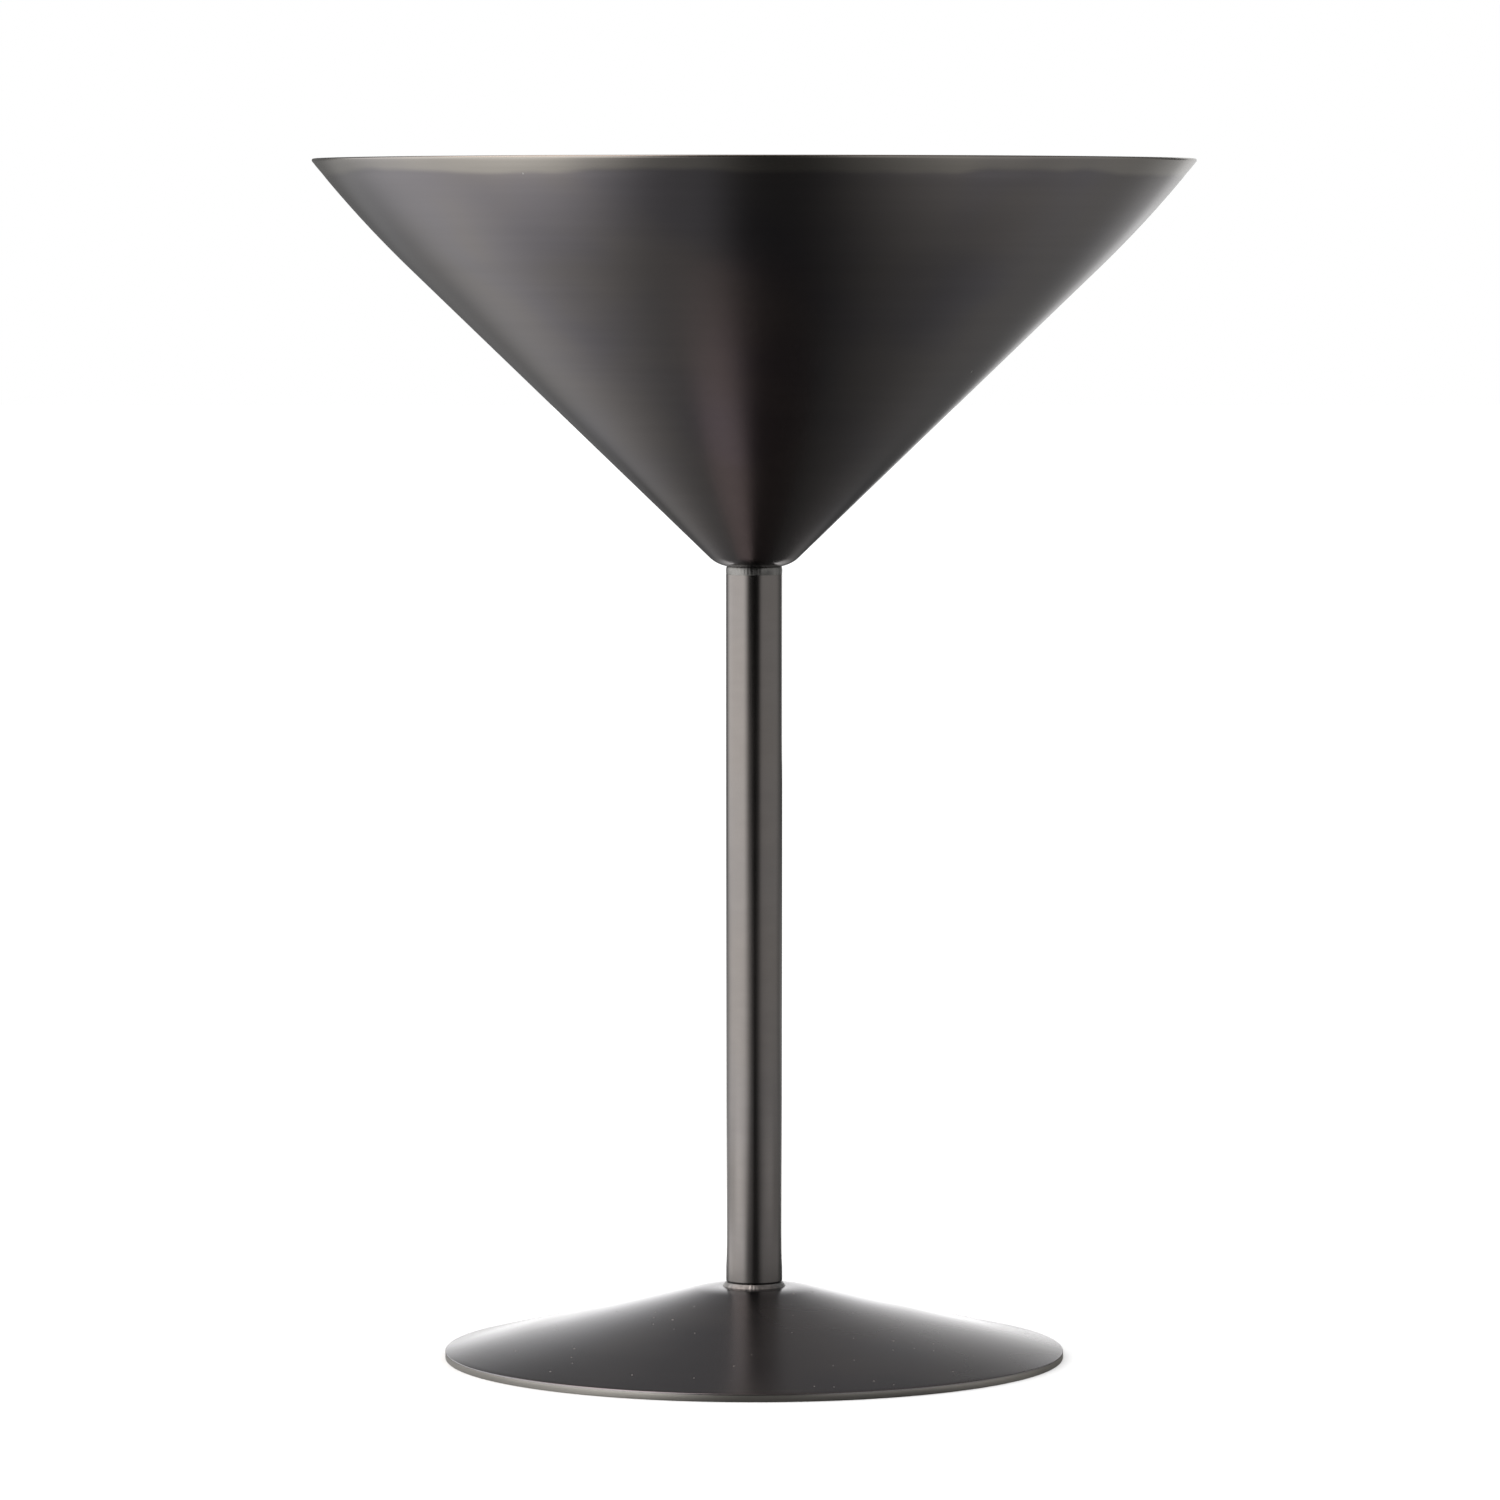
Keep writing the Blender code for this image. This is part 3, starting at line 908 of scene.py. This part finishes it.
def floor_glow(tree, place, reach):
    """Pools left and right of the glass that grow outwards, and darkness in front."""
    fade_back = ease(tree, place["Y"], 0.03, 0.36, 1.0, 0.16)
    near_left = ease(tree, place["X"], -0.002, -0.034, 0.0, 0.23)
    left = ease(tree, place["X"], -0.05, -0.2, 0.0, 1.16)
    far_left = ease(tree, place["X"], -0.17, -0.35, 0.0, 0.8)
    far_fade = ease(tree, place["Y"], 0.15, 0.6, 1.0, 0.25)
    far_left = calc(tree, "MULTIPLY", far_left, far_fade)
    right = ease(tree, place["X"], 0.02, 0.24, 0.0, 0.48)
    far_right = ease(tree, place["X"], 0.2, 0.5, 0.0, 0.16)
    front = calc(tree, "MULTIPLY", ease(tree, place["Y"], 0.03, -0.1), 1.4)
    front = calc(tree, "MULTIPLY", front, ease(tree, reach, 0.18, 0.34, 1.0, 0.0))
    pools = calc(tree, "ADD", left, right)
    pools = calc(tree, "MULTIPLY_ADD", pools, front, pools)
    pools = calc(tree, "ADD", pools, calc(tree, "ADD", near_left, far_right))
    pools = calc(tree, "MULTIPLY_ADD", pools, fade_back, far_left)
    right_back = ease(tree, place["X"], 0.1, 0.27, 0.0, 0.4)
    right_back = calc(tree, "MULTIPLY", right_back, ease(tree, place["Y"], 0.16, 0.42))
    glow = calc(tree, "ADD", calc(tree, "ADD", pools, right_back), FLOOR_DARK)
    return glow, ease(tree, reach, *CARD_EDGE, 1.0, 0.0)


card = stage_plane("floor_card", (0.0, 0.0, -0.001), (2.0, 2.0))
only_in_reflections(card)
card.data.materials.append(glow_material("floor_card_glow", floor_glow))
print("the floor card fades out between", CARD_EDGE[0], "and", CARD_EDGE[1], "m")

# %% [markdown]
# A low card stands close behind the glass. The foot lies nearly level, so towards its far side
# it mirrors the lowest part of the studio, and this card makes that side fade to light. Only
# its lowest edge, away from the middle, is brighter still, for the rim of the far side.

# %% Low card behind the foot
BACK_CARD = (0.2, 0.078)


def back_glow(tree, place, reach):
    """Brightest along the bottom, and fading upwards and towards both ends."""
    across = calc(tree, "ABSOLUTE", place["X"])
    glow = ease(tree, place["Y"], -0.038, 0.038, 2.1, 0.27)
    glow = calc(tree, "MULTIPLY", glow, ease(tree, across, 0.015, 0.06, 1.0, 0.37))
    foot_glow = ease(tree, place["Y"], -0.036, -0.014, 1.3, 0.0)
    foot_glow = calc(tree, "MULTIPLY", foot_glow, ease(tree, across, 0.01, 0.034))
    glow = calc(tree, "ADD", glow, foot_glow)
    return glow, ease(tree, across, 0.055, 0.08, 1.0, 0.0)


back_centre = (0.0, 0.1, BACK_CARD[1] / 2)
back_card = stage_plane("back_card", back_centre, BACK_CARD, (math.pi / 2, 0.0, 0.0))
only_in_reflections(back_card)
back_card.data.materials.append(glow_material("back_card_glow", back_glow))
print("the back card stands", round(1000 * back_centre[1]), "mm behind the axis")

# %% [markdown]
# Two low curved cards stand beside the foot. They face the lowest part of the stem and lean over
# towards it, so the bowl sees only their clear backs. Without them the stem would turn dark just
# above the foot.

# %% Low curved cards beside the foot
LOW_CARD = (0.078, 0.060, 0.001, 0.019)
LOW_CARD_STEPS = 24


def low_card(name, start, end, glow):
    """An arc of card between two bearings in degrees, measured from the front."""
    bottom_reach, top_reach, bottom, top = LOW_CARD
    points = []
    for step in range(LOW_CARD_STEPS + 1):
        bearing = math.radians(start + (end - start) * step / LOW_CARD_STEPS)
        level = (math.sin(bearing), -math.cos(bearing))
        points.append((level[0] * bottom_reach, level[1] * bottom_reach, bottom))
        points.append((level[0] * top_reach, level[1] * top_reach, top))
    faces = []
    for step in range(LOW_CARD_STEPS):
        corner = 2 * step
        faces.append((corner, corner + 1, corner + 3, corner + 2))
    mesh = bpy.data.meshes.new(name)
    mesh.from_pydata(points, [], faces)
    ring = bpy.data.objects.new(name, mesh)
    bpy.context.scene.collection.objects.link(ring)
    only_in_reflections(ring)

    middle = math.radians((start + end) / 2)
    half = math.radians((end - start) / 2)

    def paint(tree, place, reach):
        """Clear at the back, and fading towards both ends and the top."""
        behind = put(tree, "ShaderNodeNewGeometry").outputs["Backfacing"]
        bearing = calc(tree, "ARCTAN2", place["X"], calc(tree, "MULTIPLY", place["Y"], -1.0))
        off_middle = calc(tree, "ABSOLUTE", calc(tree, "SUBTRACT", bearing, middle))
        solid = calc(tree, "SUBTRACT", 1.0, behind)
        solid = calc(tree, "MULTIPLY", solid, ease(tree, off_middle, 0.5 * half, half, 1.0, 0.0))
        solid = calc(tree, "MULTIPLY", solid, ease(tree, place["Z"], bottom, top, 1.0, 0.0))
        return glow, solid

    mesh.materials.append(glow_material(name + "_glow", paint))
    print(name, "spans", round(end - start), "degrees")


low_card("low_left_card", -140.0, -22.0, 2.4)
low_card("low_right_card", 12.0, 130.0, 0.65)

# %% [markdown]
# The upper right edge of the bowl is a thin light line, because it mirrors a strip that stands
# far behind the glass on the right. A strip gives a sharper line than a wide light would.

# %% Strip behind the bowl, on the right
STRIP_GLOW = 1.05
STRIP_PLACE = (0.25, 0.8, 0.2)
STRIP_SIZE = (0.48, 0.5)


def strip_glow(tree, place, reach):
    """Even, with a soft edge on the side towards the glass."""
    glow = calc(tree, "MULTIPLY", ease(tree, place["X"], -0.235, -0.17), STRIP_GLOW)
    return glow, ease(tree, place["X"], -0.23, -0.19)


strip = stage_plane("right_strip", STRIP_PLACE, STRIP_SIZE, (math.pi / 2, 0.0, 0.0))
only_in_reflections(strip)
strip.data.materials.append(glow_material("right_strip_glow", strip_glow))
print("the strip stands", STRIP_PLACE[1], "m behind the axis")

# %% [markdown]
# One weak, wide light hangs above on the left. It is the only lamp in the room, because nearly
# all of the light comes from the cards and from the surroundings, which follow.

# %% Soft light from above
soft_light("top_soft_light", (-0.6, -0.2, 1.3), (0.0, 0.0, 0.1), (0.9, 0.9), 1.2)

# %% [markdown]
# The big lights are wide and smooth, so they are painted on the surroundings by direction: the
# bearing picks the left light, the right fill and the back, and the height above the horizon
# fades them. Only reflections see them. The eye sees plain white, and the floor is lit evenly.

# %% Surroundings
FLOOR_LIGHT = 1.35
WARM_TINT = (1.0, 0.86, 0.80, 1.0)

world = bpy.data.worlds.new("studio_air")
bpy.context.scene.world = world
world.use_nodes = True
air = world.node_tree
air.nodes.clear()
ray = put(air, "ShaderNodeLightPath").outputs
direction = put(air, "ShaderNodeTexCoord").outputs["Generated"]
direction = put(air, "ShaderNodeSeparateXYZ", {0: direction}).outputs
bearing = calc(air, "ARCTAN2", direction["X"], calc(air, "MULTIPLY", direction["Y"], -1.0))
bearing = calc(air, "DEGREES", bearing)
left_light = ease(air, bearing, -18.0, -46.0, 0.0, 2.35)
left_end = ease(air, bearing, -152.0, -112.0)
left_light = calc(air, "MULTIPLY", left_light, left_end)
right_fill = ease(air, bearing, 15.0, 34.0, 0.0, 0.72)
right_end = ease(air, bearing, 150.0, 95.0)
right_fill = calc(air, "MULTIPLY", right_fill, right_end)
overhead = ease(air, direction["Z"], 0.55, 0.8, 1.0, 1.7)
overhead = calc(air, "MULTIPLY", overhead, ease(air, direction["Z"], 0.85, 0.98, 1.0, 0.35))
left_light = calc(air, "MULTIPLY", left_light, overhead)
right_fill = calc(air, "MULTIPLY", right_fill, ease(air, direction["Z"], 0.5, 0.85, 1.0, 0.1))
sides = calc(air, "ADD", left_light, right_fill)
back = ease(air, calc(air, "ABSOLUTE", bearing), 120.0, 160.0, 0.0, 0.18)
sky = ease(air, direction["Z"], 0.65, 0.98, 0.0, 0.4)
seen = calc(air, "ADD", calc(air, "ADD", sides, back), sky)
plain = put(air, "ShaderNodeMix", {"Factor": ray["Is Camera Ray"], "A": FLOOR_LIGHT, "B": 1.0})
level = {"Factor": ray["Is Glossy Ray"], "A": plain.outputs[0], "B": seen}
level = put(air, "ShaderNodeMix", level)
warmth = calc(air, "MULTIPLY", ease(air, direction["Z"], 0.5, 0.8), ray["Is Glossy Ray"])
air_tint = blend(air, warmth, (1.0, 1.0, 1.0, 1.0), WARM_TINT)
air_light = {"Color": air_tint, "Strength": level.outputs[0]}
air_light = put(air, "ShaderNodeBackground", air_light)
put(air, "ShaderNodeOutputWorld", {"Surface": air_light.outputs[0]})
print("the surroundings are mixed from", len(air.nodes), "nodes")
